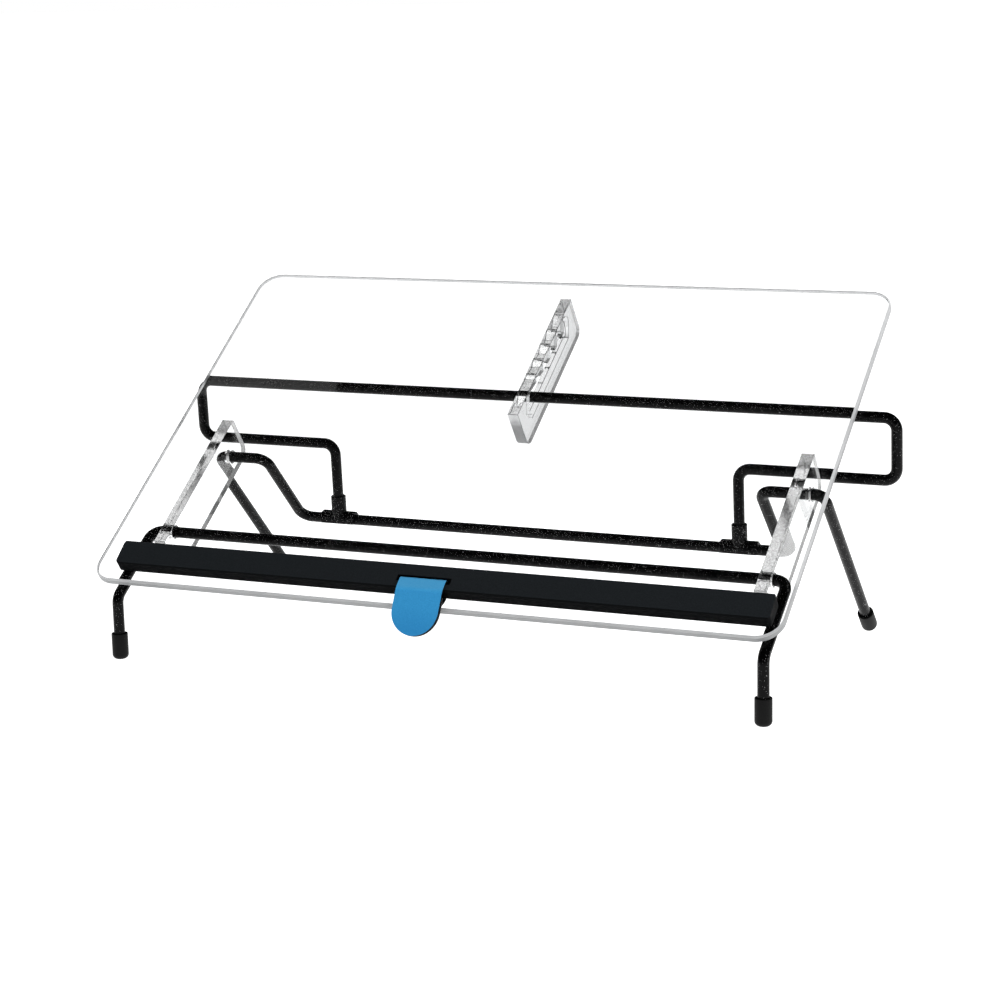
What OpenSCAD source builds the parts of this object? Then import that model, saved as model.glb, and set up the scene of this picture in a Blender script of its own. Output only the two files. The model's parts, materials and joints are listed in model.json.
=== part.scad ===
// Sloped clear board on a folding wire frame.
// Frame: +X to the right, +Y to the rear, +Z up, origin on the table under the middle of the object.
// Points on the board use u (up the slope from its front edge) and v (square to its top face).

/* [Board] */
// Width of the clear board from side to side
board_w = 520; // [440:1:640]
// Depth of the board along its slope
board_d = 334.5; // [300:0.5:400]
// Thickness of the clear sheet
board_t = 6; // [4:0.5:10]
// Radius of the board's four corners
board_r = 18; // [6:1:40]
// Slope of the board in degrees
board_tilt = 34.6; // [28:0.1:40]
// Height of the board's top front edge above the table
front_h = 58; // [50:0.5:90]
// How far the board sits to the left of the frame's centre line
board_shift = 7.4; // [0:0.1:14]

/* [Ledge] */
// Distance from the board's front edge to the ledge
ledge_inset = 9.4; // [5:0.1:20]
// Width of the ledge from front to rear
ledge_w = 20.4; // [16:0.1:32]
// Height of the ledge's front above the board
ledge_front_h = 8.4; // [6:0.1:14]
// Height of the ledge's rear above the board
ledge_rear_h = 10.4; // [7:0.1:18]
// Distance from the ledge's left end to the board's left edge
ledge_left = 22; // [4:0.5:60]
// Distance from the ledge's right end to the board's right edge
ledge_right = 7; // [4:0.5:60]
// Corner radius of the ledge seen from above
ledge_r = 3; // [1:0.1:6]
// Bevel along the ledge's top edges
ledge_bevel = 0.8; // [0.2:0.1:2]
// Thickness of the adhesive tape under the ledge
tape_t = 0.4; // [0.2:0.1:1.5]
// How far the tape stays inside the ledge's outline
tape_inset = 0.8; // [0.2:0.1:3]

/* [Tab] */
// Width of the tab
tab_w = 35.4; // [20:0.1:60]
// How far the tab sits to the left of the frame's centre line
tab_shift = 1.6; // [-40:0.1:40]
// Thickness of each of the tab's two leaves
tab_leaf = 1.2; // [0.6:0.1:2.4]
// How far the tab hangs in front of the board's front edge
tab_reach = 9.5; // [6:0.1:20]
// Height of the tab's tip above the table
tab_tip_h = 39.8; // [20:0.1:42]
// Length of the slot in the ledge
tab_slot_l = 40.6; // [24:0.1:70]
// Width of the slot from front to rear
tab_slot_w = 5.2; // [3:0.1:8]
// Depth of the slot below the ledge's top
tab_slot_deep = 5; // [3:0.1:6]
// Distance along the ledge's top from its front edge to the slot's rear wall
tab_slot_back = 10.4; // [8:0.1:14]
// Length of the lower leaf's tail under the ledge
tab_tail = 10; // [4:0.5:14]

/* [Side brackets] */
// Thickness of each bracket plate
bracket_t = 9.2; // [6:0.1:14]
// Length of each bracket along the board
bracket_l = 127.5; // [115:0.5:145]
// Height of each bracket below the board
bracket_h = 34.5; // [32:0.5:50]
// Distance from the board's front edge to the brackets
bracket_front = 42.5; // [36:0.5:60]
// Distance from the right bracket to the board's right edge
bracket_side = 19.4; // [12:0.1:50]
// Radius of a bracket's lower corners
bracket_r = 9; // [2:0.5:12]
// Radius of a bracket's upper rear corner
bracket_top_r = 1.5; // [0.5:0.5:8]
// Distance from a bracket's rear end to the rear axle
pivot_back = 19.2; // [12:0.1:24]
// Depth of the rear axle below the board's underside
pivot_drop = 20.6; // [16:0.1:24]
// Distance from a bracket's front end to the front crossbar
front_fwd = 14.9; // [10:0.1:24]
// Wall left between the front bore and the board
bore_wall = 1.4; // [0.8:0.1:4]
// Bevel round the mouth of each bracket bore
bore_bevel = 1.2; // [0.4:0.1:1.3]

/* [Height rack] */
// Thickness of the rack plate
rack_t = 8.5; // [5:0.1:12]
// Length of the rack along the board
rack_l = 126.5; // [122:0.5:150]
// Height of the rack below the board
rack_h = 33.5; // [30:0.5:50]
// Distance from the rack to the board's rear edge
rack_rear = 16.5; // [8:0.5:30]
// Distance from the rack's front end to the first seat
seat_in = 26.8; // [24:0.1:32]
// Depth of a seat's middle below the board's underside
seat_drop = 7.5; // [6.5:0.1:9]
// Distance from one notch to the next
notch_pitch = 16.4; // [14:0.1:17]
// Number of notches
notch_count = 6; // [4:1:6]
// Radius of the rack's lower corners
rack_r = 7; // [2:0.5:10]

/* [Wires] */
// Diameter of the bent rods
rod_d = 8; // [6:0.5:9]
// Bend radius of the rods' centre line
bend_r = 9; // [8:0.5:12]
// Bend radius where the rear legs leave the axles
axle_bend_r = 7.5; // [7:0.5:12]
// Gap between a bracket's outer face and the start of a leg's bend
side_gap = 0.5; // [0.4:0.1:3]
// How far the front arms run ahead of the board's front edge
front_run = 7.2; // [6:0.1:14]
// Straight axle between a bracket's inner face and the bend of a rear arm
axle_in = 19.9; // [4:0.1:40]
// Length of the rear arms from axle to lower crossbar
rear_arm_l = 76.8; // [60:0.1:90]
// Slope of the rear wire in degrees
rear_slope = 45.5; // [40:0.1:55]
// Distance from the rear arms in to the tees
tee_in = 32.6; // [26:0.1:60]
// Distance from a bracket's middle out to the prop's ends
prop_out = 49.4; // [26:0.1:60]
// Height of the prop's shoulders along the prop from the rear crossbar
prop_shoulder = 59.3; // [45:0.1:70]

/* [Feet] */
// Wall of the rubber caps
foot_wall = 1.8; // [1.2:0.1:3]
// Length of the rubber caps
foot_l = 19; // [14:0.5:30]
// Thickness of the rubber under the rod's end
foot_sole = 3; // [2:0.1:5]
// Radius of the caps' lower edge
foot_r = 3.5; // [1:0.1:4]
// Depth of the small flat worn on the slanting rear caps
foot_flat = 0.25; // [0.1:0.05:0.6]

/* [Tees] */
// Length of the saddle along the rear crossbar
tee_l = 28.5; // [20:0.5:36]
// Wall of the saddle
tee_wall = 2.2; // [1.5:0.1:3]
// Width of the snap opening under the saddle
tee_open = 6.4; // [5:0.1:7]
// How far the saddle reaches below the crossbar's middle
tee_skirt = 2.6; // [1:0.1:3.5]
// Wall of the socket
socket_wall = 1.7; // [1.2:0.1:3]
// Height of the socket above the crossbar's middle
socket_h = 18.4; // [14:0.1:26]
// Plastic left between the crossbar and the riser's end
socket_floor = 2.4; // [1.5:0.1:4]
// Bevel at the ends of the saddle and the socket
tee_bevel = 0.8; // [0.3:0.1:1.2]

/* [Fits and travel] */
// Radial clearance of the rods in bores, sleeves and caps
run_clear = 0.05; // [0.02:0.01:0.1]
// Gap between the prop's top rod and its seat, and between the front arms and the board
rest_gap = 0.3; // [0.2:0.05:0.5]
// Room round the prop's top rod as it moves along the rack
slot_gap = 0.6; // [0.4:0.05:1]
// Swing of the rear wire from the steepest to the flattest slope, in degrees
rear_swing = 36; // [20:0.5:36]
// How far the prop's top rod sinks below the seats by the end of that swing
lane_drop = 8.3; // [6:0.1:10]

/* [Hidden] */
$fn = 64;
eps = 0.01;
cut = 1;
bore_d = rod_d + 2 * run_clear;
rod_r = rod_d / 2;
joint_swell = 0.02;
joint_short = 0.2;

// The middle of the object lies between the tab and the board's rear lower edge.
rear_most = board_d * cos(board_tilt) + board_t * sin(board_tilt);
front_y = -(rear_most - tab_reach) / 2;

// Board place to object place, and back
function oy(u, v) = front_y + u * cos(board_tilt) - v * sin(board_tilt);
function oz(u, v) = front_h + u * sin(board_tilt) + v * cos(board_tilt);
function on_object(p) = [oy(p.x, p.y), oz(p.x, p.y)];
function on_slope(q) = let(y = q.x - front_y, z = q.y - front_h)
    [y * cos(board_tilt) + z * sin(board_tilt), z * cos(board_tilt) - y * sin(board_tilt)];

// Places across the object
board_right = board_w / 2 - board_shift;
bracket_x = board_right - bracket_side - bracket_t / 2;
ledge_l = board_w - ledge_left - ledge_right;
ledge_x = board_right - ledge_right - ledge_l / 2;
front_leg_x = bracket_x + bracket_t / 2 + side_gap + bend_r;
rear_leg_x = bracket_x + bracket_t / 2 + side_gap + axle_bend_r;
rear_arm_x = bracket_x - bracket_t / 2 - axle_in - bend_r;
tee_x = rear_arm_x - tee_in;
prop_x = bracket_x + prop_out;

// Axes in the side view, first on the board's slope and then on the object
pivot_s = [bracket_front + bracket_l - pivot_back, -board_t - pivot_drop];
front_s = [bracket_front + front_fwd, -board_t - bore_wall - run_clear - rod_r];
knee_s = [-front_run, -board_t - rest_gap - rod_r];
seat_s = [board_d - rack_rear - rack_l + seat_in, -board_t - seat_drop];
pivot = on_object(pivot_s);
front_axis = on_object(front_s);
knee = on_object(knee_s);
seat = on_object(seat_s);
low = pivot + rear_arm_l * [cos(rear_slope), -sin(rear_slope)];
low_s = on_slope(low);
prop_l = norm(seat - low);
prop_lean = atan2(seat.y - low.y, seat.x - low.x);
front_arm_l = norm(front_axis - knee);
knee_turn = 90 - atan2(front_axis.y - knee.y, front_axis.x - knee.x);

riser_end = rod_r + run_clear + socket_floor;

// Rubber caps
cap_r = rod_r + run_clear + foot_wall;
edge_r = min(foot_r, cap_r - cut);
ring_z = (cap_r - edge_r) * cos(rear_slope) + edge_r - foot_flat;
rear_leg_l = (pivot.y - ring_z) / sin(rear_slope) + edge_r;

// Tab, bent from the ledge's top down to the vertical
ledge_rise = atan((ledge_rear_h - ledge_front_h) / ledge_w);
tab_slope = board_tilt + ledge_rise;
lip = on_object([ledge_inset, ledge_front_h]);
tab_in_r = (lip.x - front_y + tab_reach - tab_leaf) / (1 - sin(tab_slope));
tab_mid = lip + tab_in_r * [sin(tab_slope), -cos(tab_slope)];
tab_end_r = tab_w / 2 + 0.05;
tab_steps = 20;
glue = 0.05;
tongue_r = tab_in_r - glue - tab_leaf;
tongue_bend = 27;
tongue_past = 3;
tongue_top = tab_mid + (tongue_r + tab_leaf / 2) * [-cos(tongue_bend), sin(tongue_bend)];
tongue_root = on_object([ledge_inset, tab_leaf / 2]);
tab_room = 0.3;

// Rack window
seat_r = rod_r + rest_gap;
lane_r = rod_r + slot_gap;
function spin(a, p) = [p.x * cos(a) - p.y * sin(a), p.x * sin(a) + p.y * cos(a)];
swung_low = pivot_s + spin(rear_swing, low_s - pivot_s);
swung_lean = asin((seat_s.y - lane_drop - swung_low.y) / prop_l);
prop_ratio = 1 + (prop_lean - board_tilt - swung_lean) / rear_swing;
function rod_at(a) = pivot_s + spin(a, low_s - pivot_s) + spin((1 - prop_ratio) * a, seat_s - low_s);
lane_steps = 12;
lane = [for (i = [0:lane_steps]) rod_at(rear_swing * i / lane_steps)];
lane_floor = min([for (p = lane) p.y]) - lane_r;
notch_l = (seat_s.y - lane_floor - seat_r * sin(board_tilt)) / cos(board_tilt) - rest_gap;

// Shapes seen from the side, with x along the slope and y square to it, spread along X
module across(x, w) {
    translate([x - w / 2, 0, 0])
        rotate([90, 0, 90])
            linear_extrude(w)
                children();
}

module on_board() {
    translate([0, front_y, front_h])
        rotate([board_tilt, 0, 0])
            children();
}

module round_rect(w, d, r) {
    translate([r - w / 2, 0])
        square([w - 2 * r, d]);
    translate([-w / 2, r])
        square([w, d - 2 * r]);
    for (x = [r - w / 2, w / 2 - r], y = [r, d - r])
        translate([x, y])
            circle(r);
}

// What a corner of radius r loses, for a corner that points along sx, sy
module corner(p, r, sx, sy) {
    translate(p)
        difference() {
            translate([sx < 0 ? -cut : -r, sy < 0 ? -cut : -r])
                square(r + cut);
            translate([-sx * r, -sy * r])
                circle(r);
        }
}

function unit(p) = p / norm(p);
function turn(a, b, c) = let(p = unit(b - a), q = unit(c - b)) atan2(p.x * q.y - p.y * q.x, p * q);
function set_back(a, b, c, r) = r * tan(abs(turn(a, b, c)) / 2);

// Bend schedule of a flat rod through points, each bend with its own radius:
// straight length, bend angle, roll about the rod before the bend, and bend radius
function bends(pts, radii) = let(n = len(pts))
    [for (i = [0:n - 2])
        let(lead = i == 0 ? 0 : set_back(pts[i - 1], pts[i], pts[i + 1], radii[i - 1]),
            trail = i == n - 2 ? 0 : set_back(pts[i], pts[i + 1], pts[i + 2], radii[i]),
            w = i == n - 2 ? 0 : turn(pts[i], pts[i + 1], pts[i + 2]))
        [norm(pts[i + 1] - pts[i]) - lead - trail, abs(w), w < 0 ? 180 : 0, i == n - 2 ? 0 : radii[i]]];

// A bent rod that starts along +X at the origin and follows its bend schedule.
// After a bend that isn't square, a ball a hair thicker than the rod joins the bend to the next straight.
module rod(steps, i = 0) {
    step = steps[i];
    lead = i > 0 && steps[i - 1][1] != 90 ? joint_short : 0;
    translate([lead, 0, 0])
        rotate([0, 90, 0])
            cylinder(h = step[0] - lead, d = rod_d);
    if (lead > 0)
        sphere(rod_r + joint_swell);
    if (i + 1 < len(steps))
        translate([step[0], 0, 0])
            rotate([step[2], 0, 0])
                translate([0, step[3], 0]) {
                    rotate([0, 0, -90])
                        rotate_extrude(angle = step[1])
                            translate([step[3], 0])
                                circle(d = rod_d);
                    rotate([0, 0, step[1]])
                        translate([0, -step[3], 0])
                            rotate([-step[2], 0, 0])
                                rod(steps, i + 1);
                }
}

module board() {
    color([0.86, 0.9, 0.92, 0.35])
        on_board()
            translate([-board_shift, 0, -board_t])
                linear_extrude(board_t)
                    round_rect(board_w, board_d, board_r);
}

module ledge_side() {
    top = ledge_rear_h - ledge_bevel;
    polygon([[ledge_inset, tape_t],
             [ledge_inset, ledge_front_h - ledge_bevel],
             [ledge_inset + ledge_bevel * cos(ledge_rise), ledge_front_h + ledge_bevel * sin(ledge_rise)],
             [ledge_inset + ledge_w - ledge_bevel * cos(ledge_rise),
              ledge_rear_h - ledge_bevel * sin(ledge_rise)],
             [ledge_inset + ledge_w, top],
             [ledge_inset + ledge_w, tape_t]]);
}

// Room under the ledge for the tab's lower leaf
module tail_room() {
    translate([-tab_shift - tab_w / 2 - tab_room, ledge_inset - cut, -cut])
        cube([tab_w + 2 * tab_room, tab_tail + tab_room + cut, cut + tab_leaf + tab_room]);
}

module on_ledge_top() {
    translate([-tab_shift, lip.x, lip.y])
        rotate([tab_slope, 0, 0])
            children();
}

module document_ledge() {
    color([0.13, 0.14, 0.15])
        difference() {
            on_board()
                difference() {
                    intersection() {
                        across(ledge_x, ledge_l)
                            ledge_side();
                        translate([ledge_x, ledge_inset, 0])
                            linear_extrude(ledge_rear_h + cut)
                                round_rect(ledge_l, ledge_w, ledge_r);
                    }
                    tail_room();
                }
            on_ledge_top()
                translate([-tab_slot_l / 2, tab_slot_back - tab_slot_w, -tab_slot_deep])
                    cube([tab_slot_l, tab_slot_w, tab_slot_deep + cut]);
        }
}

module ledge_tape() {
    color([0.93, 0.93, 0.9])
        on_board()
            difference() {
                translate([ledge_x, ledge_inset + tape_inset, 0])
                    linear_extrude(tape_t)
                        round_rect(ledge_l - 2 * tape_inset, ledge_w - 2 * tape_inset,
                                   max(ledge_r - tape_inset, rest_gap));
                tail_room();
            }
}

// Side view of a leaf's face on radius r: up from the table, then back through the angle a
function leaf_face(r, a) =
    concat([[tab_mid.x - r, 0]],
           [for (i = [0:tab_steps]) tab_mid + r * [-cos(a * i / tab_steps), sin(a * i / tab_steps)]]);
function backwards(p) = [for (i = [len(p) - 1:-1:0]) p[i]];
function on_top(y, z) =
    lip + [y * cos(tab_slope) - z * sin(tab_slope), y * sin(tab_slope) + z * cos(tab_slope)];

// A side view spread over the tab's width, with the tab's round end
module tab_strip() {
    front = tab_mid.x - 2 * tab_in_r;
    span = tab_w + 2 * cut;
    intersection() {
        for (i = [0:$children - 1])
            across(-tab_shift, tab_w)
                children(i);
        union() {
            translate([-tab_shift, front, tab_tip_h + tab_end_r])
                rotate([-90, 0, 0])
                    cylinder(h = 4 * tab_in_r, r = tab_end_r);
            translate([-tab_shift - span / 2, front, tab_tip_h + tab_end_r + rest_gap])
                cube([span, 4 * tab_in_r, 2 * tab_in_r]);
        }
    }
}

module tab_face() {
    a = 90 - tab_slope;
    color([0.2, 0.58, 0.82])
        tab_strip()
            polygon(concat(leaf_face(tab_in_r, a),
                           [on_top(tab_slot_back - tab_leaf, 0),
                            on_top(tab_slot_back - tab_leaf, -tab_slot_deep),
                            on_top(tab_slot_back, -tab_slot_deep),
                            on_top(tab_slot_back, tab_leaf)],
                           backwards(leaf_face(tab_in_r + tab_leaf, a))));
}

module tab_tongue() {
    along = unit(tongue_top - tongue_root);
    half = tab_leaf / 2 * [-along.y, along.x];
    a = tongue_bend + tongue_past;
    color([0.06, 0.06, 0.07])
        tab_strip() {
            polygon(concat(leaf_face(tongue_r, a), backwards(leaf_face(tongue_r + tab_leaf, a))));
            polygon([tongue_root - half, tongue_root + half, tongue_top + half, tongue_top - half]);
            polygon([on_object([ledge_inset - tab_leaf / 2, 0]),
                     on_object([ledge_inset + tab_tail, 0]),
                     on_object([ledge_inset + tab_tail, tab_leaf]),
                     on_object([ledge_inset - tab_leaf / 2, tab_leaf])]);
        }
}

// A bore along X with bevelled mouths through a plate at x
module axle_bore(x, p) {
    translate([x, p.x, p.y])
        rotate([0, 90, 0]) {
            cylinder(h = bracket_t + 2 * cut, d = bore_d, center = true);
            for (s = [-1, 1])
                translate([0, 0, s * (bracket_t / 2 - bore_bevel / 2 + eps / 2)])
                    cylinder(h = bore_bevel + eps, center = true,
                             d1 = bore_d + (s < 0 ? 2 * bore_bevel : 0),
                             d2 = bore_d + (s > 0 ? 2 * bore_bevel : 0));
        }
}

module bracket_side_view() {
    rear = bracket_front + bracket_l;
    bottom = -board_t - bracket_h;
    difference() {
        translate([bracket_front, bottom])
            square([bracket_l, bracket_h]);
        corner([bracket_front, bottom], bracket_r, -1, -1);
        corner([rear, bottom], bracket_r, 1, -1);
        corner([rear, -board_t], bracket_top_r, 1, 1);
    }
}

module bracket(x) {
    color([0.84, 0.89, 0.9, 0.4])
        on_board()
            difference() {
                across(x, bracket_t)
                    bracket_side_view();
                axle_bore(x, pivot_s);
                axle_bore(x, front_s);
            }
}

module left_bracket() {
    bracket(-bracket_x);
}

module right_bracket() {
    bracket(bracket_x);
}

// One notch, upright when the board is at its slope
module notch() {
    rotate(-board_tilt) {
        circle(seat_r);
        translate([-seat_r, -notch_l])
            square([2 * seat_r, notch_l]);
    }
}

module rack_window() {
    last = lane[lane_steps];
    nose = seat_s.x - (seat_s.y - lane_floor) * tan(board_tilt);
    polygon(concat([for (p = lane) [p.x, p.y + lane_r]],
                   [[last.x + lane_r, last.y + lane_r],
                    [last.x + lane_r, lane_floor],
                    [nose, lane_floor],
                    seat_s]));
    for (i = [0:notch_count - 1])
        translate([seat_s.x + i * notch_pitch, seat_s.y])
            notch();
}

module height_rack() {
    front = board_d - rack_rear - rack_l;
    bottom = -board_t - rack_h;
    color([0.84, 0.89, 0.9, 0.4])
        on_board()
            across(0, rack_t)
                difference() {
                    translate([front, bottom])
                        square([rack_l, rack_h]);
                    corner([front, bottom], rack_r, -1, -1);
                    corner([front + rack_l, bottom], rack_r, 1, -1);
                    rack_window();
                }
}

module front_wire() {
    knee_back = bend_r * tan(knee_turn / 2);
    leg = knee.y - foot_sole - knee_back;
    arm = front_arm_l - knee_back - bend_r;
    crossbar = 2 * (front_leg_x - bend_r);
    color([0.05, 0.05, 0.055])
        translate([-front_leg_x, knee.x, foot_sole])
            rotate([0, -90, 0])
                rod([[leg, knee_turn, 0, bend_r],
                     [arm, 90, -90, bend_r],
                     [crossbar, 90, -90, bend_r],
                     [arm, knee_turn, 0, bend_r],
                     [leg, 0, 0, 0]]);
}

// A rubber cap standing on its sole, bored for the rod
module cap() {
    rotate_extrude()
        difference() {
            intersection() {
                square([cap_r, foot_l]);
                union() {
                    translate([0, edge_r])
                        square([cap_r, foot_l]);
                    square([cap_r - edge_r, foot_l]);
                    translate([cap_r - edge_r, edge_r])
                        circle(edge_r);
                }
            }
            translate([0, foot_sole])
                square([rod_r + run_clear, foot_l]);
        }
}

module front_foot(x) {
    color([0.03, 0.03, 0.03])
        translate([x, knee.x, 0])
            cap();
}

module front_left_foot() {
    front_foot(-front_leg_x);
}

module front_right_foot() {
    front_foot(front_leg_x);
}

module on_rear() {
    translate([0, pivot.x, pivot.y])
        rotate([-rear_slope, 0, 0])
            children();
}

module rear_wire() {
    end = rear_leg_l - foot_sole;
    path = [[-rear_leg_x, end], [-rear_leg_x, 0], [-rear_arm_x, 0], [-rear_arm_x, rear_arm_l],
            [rear_arm_x, rear_arm_l], [rear_arm_x, 0], [rear_leg_x, 0], [rear_leg_x, end]];
    color([0.05, 0.05, 0.055])
        on_rear()
            translate([-rear_leg_x, end, 0])
                rotate([0, 0, -90])
                    rod(bends(path, [axle_bend_r, bend_r, bend_r, bend_r, bend_r, axle_bend_r]));
}

module rear_foot(x) {
    color([0.03, 0.03, 0.03])
        difference() {
            on_rear()
                translate([x, rear_leg_l, 0])
                    rotate([90, 0, 0])
                        cap();
            translate([x - 2 * cap_r, pivot.x, -4 * cap_r])
                cube([4 * cap_r, rear_leg_l + 4 * cap_r, 4 * cap_r]);
        }
}

module rear_left_foot() {
    rear_foot(-rear_leg_x);
}

module rear_right_foot() {
    rear_foot(rear_leg_x);
}

module on_prop() {
    translate([0, low.x, low.y])
        rotate([prop_lean, 0, 0])
            children();
}

module prop_wire() {
    path = [[-tee_x, riser_end], [-tee_x, prop_shoulder], [-prop_x, prop_shoulder], [-prop_x, prop_l],
            [prop_x, prop_l], [prop_x, prop_shoulder], [tee_x, prop_shoulder], [tee_x, riser_end]];
    color([0.05, 0.05, 0.055])
        on_prop()
            translate([-tee_x, riser_end, 0])
                rotate([0, 0, 90])
                    rod(bends(path, [for (i = [1:6]) bend_r]));
}

module bevelled_bar(r, l, bevel) {
    cylinder(h = l - bevel, r = r);
    translate([0, 0, l - bevel])
        cylinder(h = bevel, r1 = r, r2 = r - bevel);
}

module tee(x) {
    saddle_r = rod_r + run_clear + tee_wall;
    socket_r = rod_r + run_clear + socket_wall;
    color([0.04, 0.04, 0.045])
        on_prop()
            translate([x, 0, 0])
                difference() {
                    union() {
                        for (s = [-90, 90])
                            rotate([0, s, 0])
                                bevelled_bar(saddle_r, tee_l / 2, tee_bevel);
                        rotate([-90, 0, 0])
                            bevelled_bar(socket_r, socket_h, tee_bevel / 2);
                    }
                    rotate([0, 90, 0])
                        cylinder(h = tee_l + 2 * cut, d = bore_d, center = true);
                    translate([-tee_l / 2 - cut, -2 * saddle_r, -tee_open / 2])
                        cube([tee_l + 2 * cut, 2 * saddle_r, tee_open]);
                    translate([-tee_l / 2 - cut, -2 * saddle_r, -2 * saddle_r])
                        cube([tee_l + 2 * cut, 2 * saddle_r - tee_skirt, 4 * saddle_r]);
                    translate([0, riser_end, 0])
                        rotate([-90, 0, 0])
                            cylinder(h = socket_h, d = bore_d);
                }
}

module left_tee() {
    tee(-tee_x);
}

module right_tee() {
    tee(tee_x);
}

board();
document_ledge();
ledge_tape();
tab_face();
tab_tongue();
left_bracket();
right_bracket();
height_rack();
front_wire();
front_left_foot();
front_right_foot();
rear_wire();
rear_left_foot();
rear_right_foot();
prop_wire();
left_tee();
right_tee();
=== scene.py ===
"""Looks of a sloped clear board on a folding wire frame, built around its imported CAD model."""
import json
import math

import bmesh
import bpy
from mathutils import Euler, Matrix, Vector


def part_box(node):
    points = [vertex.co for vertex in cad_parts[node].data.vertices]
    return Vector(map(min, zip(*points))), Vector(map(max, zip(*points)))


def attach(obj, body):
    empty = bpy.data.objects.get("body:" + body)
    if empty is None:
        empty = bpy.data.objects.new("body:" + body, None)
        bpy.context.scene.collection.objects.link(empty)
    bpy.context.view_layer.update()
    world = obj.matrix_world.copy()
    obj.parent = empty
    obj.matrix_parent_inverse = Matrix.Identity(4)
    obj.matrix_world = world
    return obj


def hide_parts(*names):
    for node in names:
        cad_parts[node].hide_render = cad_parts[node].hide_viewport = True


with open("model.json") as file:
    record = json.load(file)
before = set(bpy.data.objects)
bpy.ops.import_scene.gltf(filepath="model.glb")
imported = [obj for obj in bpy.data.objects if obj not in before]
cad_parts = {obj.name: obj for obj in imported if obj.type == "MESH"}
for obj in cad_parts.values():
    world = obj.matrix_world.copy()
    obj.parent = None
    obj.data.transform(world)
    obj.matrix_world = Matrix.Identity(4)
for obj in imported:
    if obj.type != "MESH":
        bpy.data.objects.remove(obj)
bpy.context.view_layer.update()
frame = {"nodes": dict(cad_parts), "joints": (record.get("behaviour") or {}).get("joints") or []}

MM = 0.001

# The slopes of the board and the rear legs, and the sizes that the new pieces share with the solids
TILT = math.radians(34.6)
REAR_SLOPE = math.radians(45.5)
BOARD_THICK = 6 * MM
BOARD_CORNER = 18 * MM
BOARD_DEEP = 334.5 * MM
ROD_RADIUS = 4 * MM

# Bevels on the clear pieces, and the film of cement between the sheet and the plates under it
SHEET_BEVEL = 1.4 * MM
PLATE_BEVEL = 0.2 * MM
RACK_BEVEL = 0.3 * MM
GLUE_FILM = 0.05 * MM

# Where each finish of a piece lies in its list. The sheet has the first three, and the tab's leaves two.
FACE, EDGE, BEVEL, GLUE, BORE = range(5)

# Before a plate is bevelled, points this near to each other are merged, and so are faces this nearly flat
SAME_POINT = 0.001 * MM
RACK_WELD = 0.45 * MM
FLAT_ANGLE = math.radians(0.5)

# A plate's edges are bevelled where its faces turn more than this
CORNER_ANGLE = math.radians(50)

# A face is on a plate's outer edge if it looks outward from at least this far off the plate's middle
OUTER_REACH = 9 * MM

# A face is one of a plate's two sides if its normal points across by this much
SIDEWAYS = 0.5

# Faces that turn more than this shade as separate faces
CREASE = math.radians(30)
PLATE_CREASE = math.radians(8)
CAP_CREASE = math.radians(50)

# Rubber caps
CAP_RADIUS = 5.85 * MM
CAP_LONG = 19 * MM
CAP_SOLE = 3 * MM
CAP_EDGE = 3.5 * MM
CAP_LIP = 0.55 * MM
CAP_FLAT = 0.25 * MM
CAP_GAP = 0.05 * MM
CAP_STEPS = 64

# Numerals under the sheet, to the right of the rack, as far apart as its notches
NUMERAL_HIGH = 3.4 * MM
NUMERAL_DEEP = 0.03 * MM
NUMERAL_BOLD = 0.2 * MM
NUMERAL_ACROSS = 10.3 * MM
FIRST_NUMERAL = 225.7 * MM
NOTCH_PITCH = 16.4 * MM
NUMERAL_COUNT = 4
# A digit's height as a share of its font's size
DIGIT_SHARE = 0.7

# The tab's strap, which comes out of the ledge's slot, lies over the ledge's lip and hangs in front
LEDGE_INSET = 9.4 * MM
LEDGE_LIP = 8.4 * MM
LEDGE_SLOPE = TILT + math.radians(5.6)
STRAP_THICK = 1.2 * MM
STRAP_HALF = 17.4 * MM
STRAP_MIDDLE = -1.6 * MM
STRAP_FILM = 0.05 * MM
STRAP_SLOT = 7.6 * MM
STRAP_SUNK = 4.6 * MM
STRAP_FOLD = 0.8 * MM
# Its rows lie this far apart. Its round end stops short of a quarter turn, so that the last row has width.
STRAP_STEP = 0.4 * MM
END_STEPS = 30
END_ANGLE = math.radians(88.5)
# Its legs, as (length, turn) pairs: out of the slot, over the slot's edge, along the ledge,
# round the lip, straight on, slowly down and straight to the end
STRAP_LEGS = [(STRAP_SUNK + STRAP_FILM - STRAP_FOLD, 0),
              (STRAP_FOLD * math.pi / 2, math.pi / 2),
              (5.8 * MM, 0),
              (3.6 * MM, math.radians(20.5)),
              (10 * MM, 0),
              (15 * MM, math.radians(6)),
              (5.6 * MM, 0)]

# The lining behind the strap's hanging end, and the tie that joins it from under the ledge
LINING_START = 17 * MM
LINING_THICK = 1.8 * MM
LINING_RIM = 0.3 * MM
TIE_TAIL = 9.5 * MM
TIE_LEGS = [(TIE_TAIL + MM, 0), (3 * MM, math.radians(-17)), (6.9 * MM, 0)]

# Camera, fitted to the photograph
CAMERA_PLACE = (0.7080, -1.5626, 0.4608)
CAMERA_TURN = (78.303, 1.270, 24.121)
CAMERA_LENS = 87.24
CAMERA_REACH = 1000

# Stage, in metres
FLOOR_SIZE = 400
GLOW_FRONT = -0.5
GLOW_BACK = 1.0
OBJECT_MIDDLE = (0, 0, 0.1)

# Clear acrylic bends light this much
ACRYLIC_IOR = 1.49

# Most of a noise texture lies between these values
NOISE_LOW = 0.3
NOISE_HIGH = 0.7

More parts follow.
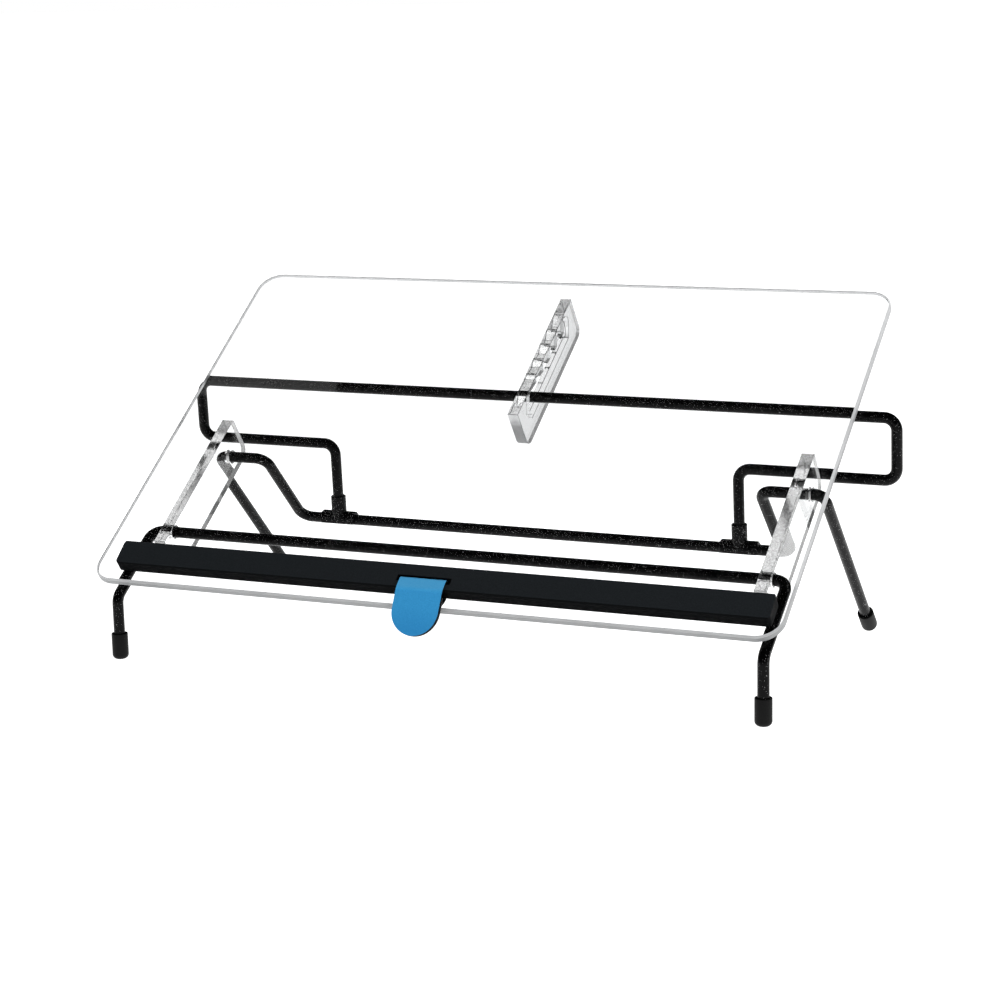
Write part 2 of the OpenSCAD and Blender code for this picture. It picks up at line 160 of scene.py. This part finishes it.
UPWARD = (0, 0, 1)
UP_SLOPE = Vector((0, math.cos(TILT), math.sin(TILT)))
OUT_OF_BOARD = Vector((0, -math.sin(TILT), math.cos(TILT)))
board_low, board_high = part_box("board")
FRONT_EDGE = Vector((0, board_low.y, board_low.z + BOARD_THICK * math.cos(TILT)))
BOARD_MIDDLE = (board_low.x + board_high.x) / 2
BOARD_WIDE = board_high.x - board_low.x


def on_board(x, u, v):
    """A point x across, u up the slope from the front edge and v out of the board's top."""
    return FRONT_EDGE + Vector((x, 0, 0)) + u * UP_SLOPE + v * OUT_OF_BOARD


# Materials

def material(name, **sockets):
    """A material with one Principled shader, whose even values are set on its own sockets."""
    mat = bpy.data.materials.new(name)
    mat.use_nodes = True
    shader = mat.node_tree.nodes["Principled BSDF"]
    for socket, value in sockets.items():
        shader.inputs[socket.replace("_", " ")].default_value = value
    return mat, mat.node_tree, shader


def grey(value):
    """An opaque grey of this brightness."""
    return (value, value, value, 1)


def add(tree, kind, links=(), **values):
    """A node of this kind, with (input name, output socket) links and its other inputs by name."""
    node = tree.nodes.new(kind)
    for name, value in values.items():
        node.inputs[name.replace("_", " ")].default_value = value
    for name, socket in links:
        tree.links.new(socket, node.inputs[name])
    return node


def place(tree):
    """The point on the piece, in metres, which moves with the piece."""
    return tree.nodes.new("ShaderNodeTexCoord").outputs["Object"]


def noise(tree, scale, detail=3.0, roughness=0.5):
    """Cloudy noise over the piece, with this many clouds to the metre."""
    node = add(tree, "ShaderNodeTexNoise", [("Vector", place(tree))],
               Scale=scale, Detail=detail, Roughness=roughness)
    return node.outputs["Fac"]


def cells(tree, scale):
    """The distance to the nearest of many scattered points."""
    node = add(tree, "ShaderNodeTexVoronoi", [("Vector", place(tree))], Scale=scale)
    return node.outputs["Distance"]


def ramp(tree, socket, stops):
    """A colour ramp through (position, colour) stops."""
    node = add(tree, "ShaderNodeValToRGB", [("Fac", socket)])
    while len(node.color_ramp.elements) < len(stops):
        node.color_ramp.elements.new(1.0)
    for element, (position, colour) in zip(node.color_ramp.elements, stops):
        element.position = position
        element.color = colour
    return node.outputs["Color"]


def spread(tree, socket, low, high):
    """A value from low to high over the range where noise mostly lies."""
    node = add(tree, "ShaderNodeMapRange", [("Value", socket)],
               From_Min=NOISE_LOW, From_Max=NOISE_HIGH, To_Min=low, To_Max=high)
    return node.outputs["Result"]


def bump(tree, shader, socket, strength, depth):
    """Makes the surface rise and fall with the socket."""
    node = add(tree, "ShaderNodeBump", [("Height", socket)], Strength=strength, Distance=depth)
    tree.links.new(node.outputs["Normal"], shader.inputs["Normal"])


def times(tree, first, second):
    """The product of two sockets."""
    node = add(tree, "ShaderNodeMath", [(0, first), (1, second)])
    node.operation = "MULTIPLY"
    return node.outputs["Value"]


def facing(tree, way):
    """How far the surface looks along a direction, from 1 down to -1."""
    normal = tree.nodes.new("ShaderNodeNewGeometry").outputs["Normal"]
    node = add(tree, "ShaderNodeVectorMath", [(0, normal)])
    node.operation = "DOT_PRODUCT"
    node.inputs[1].default_value = way
    return node.outputs["Value"]


def speckled_black(name, cell_scale, sparse, dense):
    """Satin black with a fine orange peel and pale specks, which lie closer together in patches."""
    speck = grey(0.4)
    black = (0.0009, 0.0009, 0.0011, 1)
    mat, tree, shader = material(name, Specular_IOR_Level=0.1)
    patch = spread(tree, noise(tree, scale=260.0, detail=2.0), sparse, dense)
    distance = times(tree, cells(tree, cell_scale), patch)
    tree.links.new(ramp(tree, distance, [(0.14, speck), (0.2, black)]), shader.inputs["Base Color"])
    peel = noise(tree, scale=1500.0, detail=2.0)
    tree.links.new(spread(tree, peel, 0.2, 0.32), shader.inputs["Roughness"])
    bump(tree, shader, peel, strength=0.2, depth=0.05 * MM)
    return mat


def fine_grain(name, dark, light, scale, rough, depth, shine=0.3):
    """A moulded or coated surface whose colour and gloss vary with a fine grain."""
    mat, tree, shader = material(name, Specular_IOR_Level=shine)
    grain = noise(tree, scale, detail=4.0, roughness=0.6)
    shade = ramp(tree, grain, [(NOISE_LOW, dark), (NOISE_HIGH, light)])
    tree.links.new(shade, shader.inputs["Base Color"])
    tree.links.new(spread(tree, grain, rough - 0.08, rough + 0.08), shader.inputs["Roughness"])
    bump(tree, shader, grain, strength=0.3, depth=depth)
    return mat


def ledge_coat():
    """Matt charcoal, painted paler on the faces that look up, as if lit from above."""
    charcoal = (0.003, 0.0034, 0.0038, 1)
    painted_lit_charcoal = (0.021, 0.0245, 0.0275, 1)
    mat, tree, shader = material("ledge_charcoal", Specular_IOR_Level=0.03)
    grain = noise(tree, scale=1300.0, detail=4.0, roughness=0.6)
    # Painted light: the faces that look up are painted paler, as if lit from above, broken by the grain.
    painted_top_light = times(tree, facing(tree, UPWARD), spread(tree, grain, 0.75, 1.25))
    tree.links.new(ramp(tree, painted_top_light, [(0.1, charcoal), (0.9, painted_lit_charcoal)]), shader.inputs["Base Color"])
    tree.links.new(spread(tree, grain, 0.5, 0.65), shader.inputs["Roughness"])
    bump(tree, shader, grain, strength=0.3, depth=0.04 * MM)
    return mat


def tab_cloth():
    """Blue band with a fine weave, painted paler at its fold, which looks up: a painted sheen from the
    light above.
    """
    deep = (0.024, 0.265, 0.6, 1)
    middle = (0.054, 0.4, 0.79, 1)
    painted_sheen_blue = (0.095, 0.46, 0.84, 1)
    mat, tree, shader = material("tab_blue", Specular_IOR_Level=0.25)
    weave = noise(tree, scale=1500.0, detail=4.0, roughness=0.6)
    # Painted light: the band is painted paler the more it looks up, as a sheen from above, broken by the
    # weave.
    light = times(tree, facing(tree, UPWARD), spread(tree, weave, 0.85, 1.15))
    shade = ramp(tree, light, [(0.38, deep), (0.58, middle), (0.8, painted_sheen_blue)])
    tree.links.new(shade, shader.inputs["Base Color"])
    tree.links.new(spread(tree, weave, 0.47, 0.63), shader.inputs["Roughness"])
    bump(tree, shader, weave, strength=0.3, depth=0.04 * MM)
    return mat


def clear_face(name, tint):
    """Polished clear sheet with the faintest hairlines."""
    mat, tree, shader = material(name, Base_Color=tint, IOR=ACRYLIC_IOR, Transmission_Weight=1.0)
    hair = noise(tree, scale=320.0, detail=2.0)
    tree.links.new(spread(tree, hair, 0.0, 0.012), shader.inputs["Roughness"])
    return mat


def clear_edge(name, shade, clarity, scale):
    """Cut edge of a clear sheet, greyer and softer than its faces, with faint saw marks. On the plates'
    and the rack's bevels its dark grey is painted shade.
    """
    mat, tree, shader = material(name, IOR=ACRYLIC_IOR, Transmission_Weight=clarity)
    cut = noise(tree, scale)
    darker = tuple(0.94 * c for c in shade)
    marks = ramp(tree, cut, [(NOISE_LOW, darker + (1,)), (NOISE_HIGH, shade + (1,))])
    tree.links.new(marks, shader.inputs["Base Color"])
    tree.links.new(spread(tree, cut, 0.3, 0.4), shader.inputs["Roughness"])
    bump(tree, shader, cut, strength=0.03, depth=0.03 * MM)
    return mat


def line_stops(middle, ground, line):
    """Ramp stops that draw a line's colour round a middle value, on a ground."""
    half = 0.04
    return [(middle - half, ground), (middle, line), (middle + half, ground)]


def glued_face(name, tint, ripple, blur):
    """Face of a clear plate under the sheet, rippled by the cement and with a few rings of bubbles."""
    mat, tree, shader = material(name, IOR=ACRYLIC_IOR, Transmission_Weight=1.0)
    run = noise(tree, scale=330.0, roughness=0.55)
    ring = ramp(tree, cells(tree, scale=260.0), line_stops(0.4, grey(tint), grey(0.5)))
    wave_stops = line_stops(0.45, grey(1), grey(0.2)) + line_stops(0.57, grey(1), grey(0.2))
    wave = ramp(tree, run, wave_stops)
    tree.links.new(times(tree, ring, wave), shader.inputs["Base Color"])
    tree.links.new(spread(tree, run, blur, blur / 4), shader.inputs["Roughness"])
    bump(tree, shader, run, ripple, depth=0.2 * MM)
    return mat


# Pieces

def finish_piece(piece, body, slot, *nodes):
    """Puts a new piece on its CAD body and hides the nodes that it stands for. Its slot, the record's
    finish, is not used.
    """
    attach(piece, body)
    if nodes:
        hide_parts(*nodes)


def mesh_object(name, bm, materials, crease=CREASE):
    """An object of this mesh, smooth apart from the edges that turn more than the crease."""
    mesh = bpy.data.meshes.new(name)
    bm.normal_update()
    bm.to_mesh(mesh)
    bm.free()
    for mat in materials:
        mesh.materials.append(mat)
    for face in mesh.polygons:
        face.use_smooth = True
    mesh.set_sharp_from_angle(angle=crease)
    piece = bpy.data.objects.new(name, mesh)
    bpy.context.scene.collection.objects.link(piece)
    return piece


def arc(middle, radius, start, end, steps=6):
    """Points on an arc from start to end degrees."""
    for i in range(steps + 1):
        a = math.radians(start + (end - start) * i / steps)
        yield (middle[0] + radius * math.cos(a), middle[1] + radius * math.sin(a))


def rounded_outline(inset):
    """The board's outline, drawn in from its edge, as (across, up the slope) points."""
    across = BOARD_WIDE / 2 - BOARD_CORNER
    rear = BOARD_DEEP - BOARD_CORNER
    corners = [(across, rear), (-across, rear), (-across, BOARD_CORNER), (across, BOARD_CORNER)]
    points = []
    for i, middle in enumerate(corners):
        points += arc(middle, BOARD_CORNER - inset, 90 * i, 90 * (i + 1), steps=20)
    return points


def board_sheet(materials):
    """The clear sheet, with bevels along its edges."""
    bm = bmesh.new()
    levels = [(SHEET_BEVEL, 0), (0, -SHEET_BEVEL),
              (0, SHEET_BEVEL - BOARD_THICK), (SHEET_BEVEL, -BOARD_THICK)]
    rings = []
    for inset, v in levels:
        rings.append([bm.verts.new(on_board(BOARD_MIDDLE + x, u, v)) for x, u in rounded_outline(inset)])
    bm.faces.new(rings[0])
    bm.faces.new(reversed(rings[-1]))
    count = len(rings[0])
    for upper, lower, finish in zip(rings, rings[1:], (BEVEL, EDGE, BEVEL)):
        for i in range(count):
            j = (i + 1) % count
            face = bm.faces.new((lower[i], lower[j], upper[j], upper[i]))
            face.material_index = finish
    return mesh_object("board_sheet", bm, materials)


def clean_solid(node, weld):
    """The mesh of a CAD node, with whole flat faces and no points nearer to each other than the weld."""
    solid = frame["nodes"][node].data.copy()
    solid.attributes.remove(solid.attributes["custom_normal"])
    bm = bmesh.new()
    bm.from_mesh(solid)
    bpy.data.meshes.remove(solid)
    for gap in (SAME_POINT, weld):
        bmesh.ops.remove_doubles(bm, verts=bm.verts, dist=gap)
        bmesh.ops.dissolve_limit(bm, angle_limit=FLAT_ANGLE, verts=bm.verts, edges=bm.edges)
    return bm


def is_outside(face, node):
    """True for a face on a plate's outer edge, and not in one of its bores or its window."""
    low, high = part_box(node)
    middle = (low + high) / 2
    return (face.calc_center_median() - middle).dot(face.normal) > OUTER_REACH


def is_corner(edge):
    """True for an edge at which two faces meet in a corner."""
    return len(edge.link_faces) == 2 and edge.calc_face_angle() > CORNER_ANGLE


def clear_plate(node, name, materials, bevel, weld):
    """A clear plate from its CAD node, with fine bevels, cut edges and a film of cement above it."""
    bm = clean_solid(node, weld)
    top = on_board(0, 0, -BOARD_THICK).dot(OUT_OF_BOARD)
    for vert in bm.verts:
        if vert.co.dot(OUT_OF_BOARD) > top - GLUE_FILM / 2:
            vert.co -= GLUE_FILM * OUT_OF_BOARD
    bm.normal_update()
    corners = [edge for edge in bm.edges if is_corner(edge)]
    for face in bm.faces:
        if face.calc_center_median().dot(OUT_OF_BOARD) > top - 2 * GLUE_FILM:
            face.material_index = GLUE
        elif abs(face.normal.x) < SIDEWAYS:
            face.material_index = EDGE if is_outside(face, node) else BORE
    bmesh.ops.bevel(bm, geom=corners, offset=bevel, segments=2, profile=0.5, affect="EDGES",
                    clamp_overlap=False, material=BEVEL)
    return mesh_object(name, bm, materials, PLATE_CREASE)


def slope_at(legs, slope, gone):
    """The angle at which a strap runs down, this far along its legs, from its slope at the start."""
    for length, turn in legs:
        slope += turn * min(max(gone / length, 0), 1)
        gone -= length
    return slope


def strap_marks(long, round_end):
    """A strap's (distance, half width) pairs from its start to its straight or round end."""
    straight = long - STRAP_HALF if round_end else long
    steps = math.ceil(straight / STRAP_STEP)
    marks = [(straight * i / steps, STRAP_HALF) for i in range(steps + 1)]
    if round_end:
        for i in range(1, END_STEPS + 1):
            a = END_ANGLE * i / END_STEPS
            marks.append((straight + STRAP_HALF * math.sin(a), STRAP_HALF * math.cos(a)))
    return marks


def strap_rows(spot, slope, legs, round_end):
    """A strap's side view from its start, as (distance, place, facing, half width) rows."""
    before = 0
    for gone, half in strap_marks(sum(length for length, turn in legs), round_end):
        a = slope_at(legs, slope, (before + gone) / 2)
        spot = spot + (gone - before) * Vector((0, -math.cos(a), -math.sin(a)))
        a = slope_at(legs, slope, gone)
        yield gone, spot, Vector((0, -math.sin(a), math.cos(a))), half
        before = gone


def strap_leaf(name, rows, low, high, face_mat, edge_mat, wider=0):
    """A leaf between two heights off a strap's rows, with its own finish on the face that looks out."""
    bm = bmesh.new()
    rings = []
    for gone, spot, out, half in rows:
        rings.append([bm.verts.new(spot + Vector((side * (half + wider), 0, 0)) + height * out)
                      for side, height in ((-1, high), (1, high), (1, low), (-1, low))])
    for first, second in zip(rings, rings[1:]):
        for i, finish in enumerate((FACE, EDGE, EDGE, EDGE)):
            j = (i + 1) % 4
            face = bm.faces.new((first[i], first[j], second[j], second[i]))
            face.material_index = finish
    for ring in (rings[0], rings[-1]):
        bm.faces.new(ring).material_index = EDGE
    bmesh.ops.recalc_face_normals(bm, faces=bm.faces)
    return mesh_object(name, bm, [face_mat, edge_mat])


def tab_pieces(blue, black):
    """The tab's blue strap, the black lining behind its hanging end and the tie from under the ledge."""
    lip = on_board(STRAP_MIDDLE, LEDGE_INSET, LEDGE_LIP)
    back = Vector((0, math.cos(LEDGE_SLOPE), math.sin(LEDGE_SLOPE)))
    out = Vector((0, -math.sin(LEDGE_SLOPE), math.cos(LEDGE_SLOPE)))
    start = lip + STRAP_SLOT * back - STRAP_SUNK * out
    rows = list(strap_rows(start, LEDGE_SLOPE - math.pi / 2, STRAP_LEGS, True))
    face = strap_leaf("tab_strap", rows, 0, STRAP_THICK, blue, black)
    finish_piece(face, "board", "tab_blue", "tab_face")
    behind = [row for row in rows if row[0] > LINING_START]
    lining = strap_leaf("tab_lining", behind, -STRAP_FILM - LINING_THICK, -STRAP_FILM, black, black,
                        wider=LINING_RIM)
    finish_piece(lining, "board", "tab_black", "tab_tongue")
    tail = on_board(STRAP_MIDDLE, LEDGE_INSET + TIE_TAIL, STRAP_FILM)
    tie = strap_leaf("tab_tie", strap_rows(tail, TILT, TIE_LEGS, False), 0, STRAP_THICK, black, black)
    finish_piece(tie, "board", "tab_black", "tab_tongue")


def numeral(index, mat):
    """One plain numeral under the sheet, which reads from the right-hand side."""
    curve = bpy.data.curves.new("rack_numeral", "FONT")
    curve.body = str(index + 1)
    curve.size = NUMERAL_HIGH / DIGIT_SHARE
    curve.extrude = NUMERAL_DEEP / 2
    curve.offset = NUMERAL_BOLD
    curve.align_x = "CENTER"
    curve.align_y = "CENTER"
    curve.materials.append(mat)
    piece = bpy.data.objects.new(f"rack_numeral_{index + 1}", curve)
    bpy.context.scene.collection.objects.link(piece)
    turn = Matrix((UP_SLOPE, Vector((-1, 0, 0)), OUT_OF_BOARD)).transposed()
    spot = on_board(NUMERAL_ACROSS, FIRST_NUMERAL + index * NOTCH_PITCH, -BOARD_THICK - NUMERAL_DEEP)
    piece.matrix_world = Matrix.Translation(spot) @ turn.to_4x4()
    return piece


def cap_profile():
    """Half of a cap's section, as (radius, height) points from its sole to the bottom of its bore."""
    inner = ROD_RADIUS + CAP_GAP
    lip_high = CAP_LONG - CAP_LIP
    profile = [(0, 0)]
    profile += arc((CAP_RADIUS - CAP_EDGE, CAP_EDGE), CAP_EDGE, -90, 0, steps=10)
    profile += arc((CAP_RADIUS - CAP_LIP, lip_high), CAP_LIP, 0, 90)
    profile += arc((inner + CAP_LIP, lip_high), CAP_LIP, 90, 180)
    profile += [(inner, CAP_SOLE), (0, CAP_SOLE)]
    return profile


def rubber_cap(name, sole, axis, mat):
    """A push-on cap turned about its axis, with a soft lip and a rounded sole, flat at the floor."""
    turn = axis.to_track_quat("Z", "Y").to_matrix()
    bm = bmesh.new()
    verts = [bm.verts.new((r, 0, z)) for r, z in cap_profile()]
    edges = [bm.edges.new(pair) for pair in zip(verts, verts[1:])]
    bmesh.ops.spin(bm, geom=verts + edges, axis=(0, 0, 1), cent=(0, 0, 0), angle=2 * math.pi,
                   steps=CAP_STEPS, use_merge=True)
    bmesh.ops.remove_doubles(bm, verts=bm.verts, dist=SAME_POINT)
    bmesh.ops.recalc_face_normals(bm, faces=bm.faces)
    for vert in bm.verts:
        vert.co = sole + turn @ vert.co
        vert.co.z = max(vert.co.z, 0)
    return mesh_object(name, bm, [mat], CAP_CREASE)


def cap_places():
    """Each cap's CAD node, with its body, the middle of its sole and the way its mouth points."""
    for node in ("front_left_foot", "front_right_foot"):
        low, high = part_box(node)
        middle = (low + high) / 2
        yield node, "front_leg", Vector((middle.x, middle.y, 0)), Vector(UPWARD)
    pivot = next(Vector(j["pos_m"]) for j in frame["joints"] if j["name"] == "rear_leg_swing")
    down = Vector((0, math.cos(REAR_SLOPE), -math.sin(REAR_SLOPE)))
    # A rear leg's length puts the rounded edge of its slanted cap on the floor, pressed a little flat
    rim = (CAP_RADIUS - CAP_EDGE) * math.cos(REAR_SLOPE) + CAP_EDGE - CAP_FLAT
    leg = (pivot.z - rim) / math.sin(REAR_SLOPE) + CAP_EDGE
    for node in ("rear_left_foot", "rear_right_foot"):
        low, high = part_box(node)
        middle = (low + high) / 2
        yield node, "rear_leg", Vector((middle.x, pivot.y, pivot.z)) + leg * down, -down


def paint_solids():
    """Gives every CAD node that stays its finish."""
    rod = speckled_black("powder_coat", cell_scale=850.0, sparse=2.2, dense=0.8)
    tee = speckled_black("moulded_black", cell_scale=1000.0, sparse=1.3, dense=0.75)
    tape = fine_grain("tape", grey(0.01), grey(0.016), scale=700.0, rough=0.6, depth=0.02 * MM)
    finishes = {"front_wire": rod, "rear_wire": rod, "prop_wire": rod, "left_tee": tee, "right_tee": tee,
                "document_ledge": ledge_coat(), "ledge_tape": tape}
    for node, mat in finishes.items():
        frame["nodes"][node].material_slots[0].material = mat


def clear_pieces():
    """The clear sheet, with the two brackets and the rack that are cemented under it."""
    face = clear_face("clear_face", (0.985, 0.99, 0.992, 1))
    sheet_finishes = [face,
                      clear_edge("sheet_edge", (0.52, 0.53, 0.54), clarity=0.5, scale=60.0),
                      clear_edge("sheet_bevel", (0.78, 0.79, 0.8), clarity=0.4, scale=60.0)]
    plate_finishes = [face,
                      clear_edge("plate_edge", (0.78, 0.78, 0.78), clarity=0.75, scale=420.0),
                      # The plates' bevels are painted dark grey: painted shade for the dark surroundings
                      # that clear bevels refract.
                      clear_edge("painted_shade_bevel", (0.3, 0.31, 0.32), clarity=0.4, scale=420.0),
                      glued_face("glued_face", tint=0.9, ripple=0.7, blur=0.06),
                      face]
    rack_finishes = [clear_face("rack_face", (0.58, 0.585, 0.59, 1)),
                     clear_edge("rack_edge", (0.9, 0.9, 0.91), clarity=0.85, scale=420.0),
                     # The rack's bevels are painted dark grey too: painted shade for the dark surroundings
                     # that clear bevels refract.
                     clear_edge("rack_bevel", (0.2, 0.205, 0.21), clarity=0.3, scale=420.0),
                     glued_face("rack_glue", tint=0.75, ripple=0.1, blur=0.08),
                     face]
    finish_piece(board_sheet(sheet_finishes), "board", "acrylic", "board")
    for node in ("left_bracket", "right_bracket"):
        plate = clear_plate(node, f"{node}_clear", plate_finishes, PLATE_BEVEL, SAME_POINT)
        finish_piece(plate, "board", "acrylic", node)
    rack = clear_plate("height_rack", "height_rack_clear", rack_finishes, RACK_BEVEL, RACK_WELD)
    finish_piece(rack, "board", "acrylic", "height_rack")


def small_pieces():
    """The tab, the numerals beside the rack and the rubber caps."""
    soot = (grey(0.003), grey(0.006))
    black = fine_grain("tab_black", *soot, scale=1500.0, rough=0.55, depth=0.04 * MM, shine=0.1)
    ink = fine_grain("numeral_ink", grey(0.02), grey(0.05), scale=900.0, rough=0.5, depth=0.01 * MM)
    rubber = fine_grain("rubber", *soot, scale=900.0, rough=0.5, depth=0.03 * MM, shine=0.12)
    tab_pieces(tab_cloth(), black)
    for i in range(NUMERAL_COUNT):
        finish_piece(numeral(i, ink), "board", "tape")
    for node, body, sole, axis in cap_places():
        finish_piece(rubber_cap(f"{node}_cap", sole, axis, rubber), body, "cap", node)


# Stage

def floor():
    """A wide white floor that glows, most of all just behind the object."""
    mat, tree, shader = material("floor", Base_Color=grey(0.3), Roughness=0.9, Emission_Strength=1.5)
    back = add(tree, "ShaderNodeSeparateXYZ", [("Vector", place(tree))]).outputs["Y"]
    along = add(tree, "ShaderNodeMapRange", [("Value", back)], From_Min=GLOW_FRONT, From_Max=GLOW_BACK)
    glow = ramp(tree, along.outputs["Result"],
                [(0.25, grey(0.76)), (0.42, grey(1.0)), (0.6, grey(1.0)), (0.75, grey(0.76))])
    tree.links.new(glow, shader.inputs["Emission Color"])
    bpy.ops.mesh.primitive_plane_add(size=FLOOR_SIZE)
    plane = bpy.context.object
    plane.name = "floor"
    plane.data.materials.append(mat)


def studio():
    """White round the horizon and dark above it, but not reflected, which would turn the rods grey."""
    world = bpy.data.worlds.new("studio")
    bpy.context.scene.world = world
    world.use_nodes = True
    tree = world.node_tree
    way = tree.nodes.new("ShaderNodeTexCoord").outputs["Generated"]
    parts = add(tree, "ShaderNodeSeparateXYZ", [("Vector", way)])
    sky = ramp(tree, parts.outputs["Z"], [(0.22, grey(1.0)), (0.4, grey(0.01))])
    tree.links.new(sky, tree.nodes["Background"].inputs["Color"])
    world.cycles_visibility.glossy = False


def softbox(name, spot, size, power, aim=OBJECT_MIDDLE, mirrored=False):
    """A square soft light that faces a point. Only a mirrored one shows in the sheet."""
    lamp = bpy.data.lights.new(name, "AREA")
    lamp.size = size
    lamp.energy = power
    box = bpy.data.objects.new(name, lamp)
    box.visible_glossy = mirrored
    box.visible_transmission = mirrored
    box.location = spot
    box.rotation_euler = (Vector(aim) - Vector(spot)).to_track_quat("-Z", "Y").to_euler()
    bpy.context.scene.collection.objects.link(box)


def lights():
    """Three soft lights, and a faint panel whose reflection veils the rod at the sheet's rear left."""
    softbox("softbox_right", (2.2, -0.4, 1.6), size=1.4, power=40)
    softbox("softbox_back", (0.3, 2.4, 1.5), size=1.6, power=30)
    softbox("softbox_left", (-2.4, -0.8, 0.9), size=1.2, power=14)
    softbox("sheen_panel", (-1.74, 0.895, 2.2), size=1.0, power=0.8, aim=(-1.74, 0.895, 0), mirrored=True)


def camera():
    """The camera that took the photograph, as far as it can be fitted."""
    eye = bpy.data.objects.new("camera", bpy.data.cameras.new("camera"))
    eye.data.lens = CAMERA_LENS
    eye.location = CAMERA_PLACE
    eye.rotation_euler = Euler([math.radians(a) for a in CAMERA_TURN])
    eye.data.clip_end = CAMERA_REACH
    bpy.context.scene.collection.objects.link(eye)
    bpy.context.scene.camera = eye


camera()
floor()
studio()
lights()
paint_solids()
clear_pieces()
small_pieces()

scene = bpy.context.scene
scene.view_settings.view_transform = "Standard"
scene.cycles.use_denoising = True
# Light has to pass many clear layers
scene.cycles.max_bounces = 24
scene.cycles.glossy_bounces = 12
scene.cycles.transmission_bounces = 24
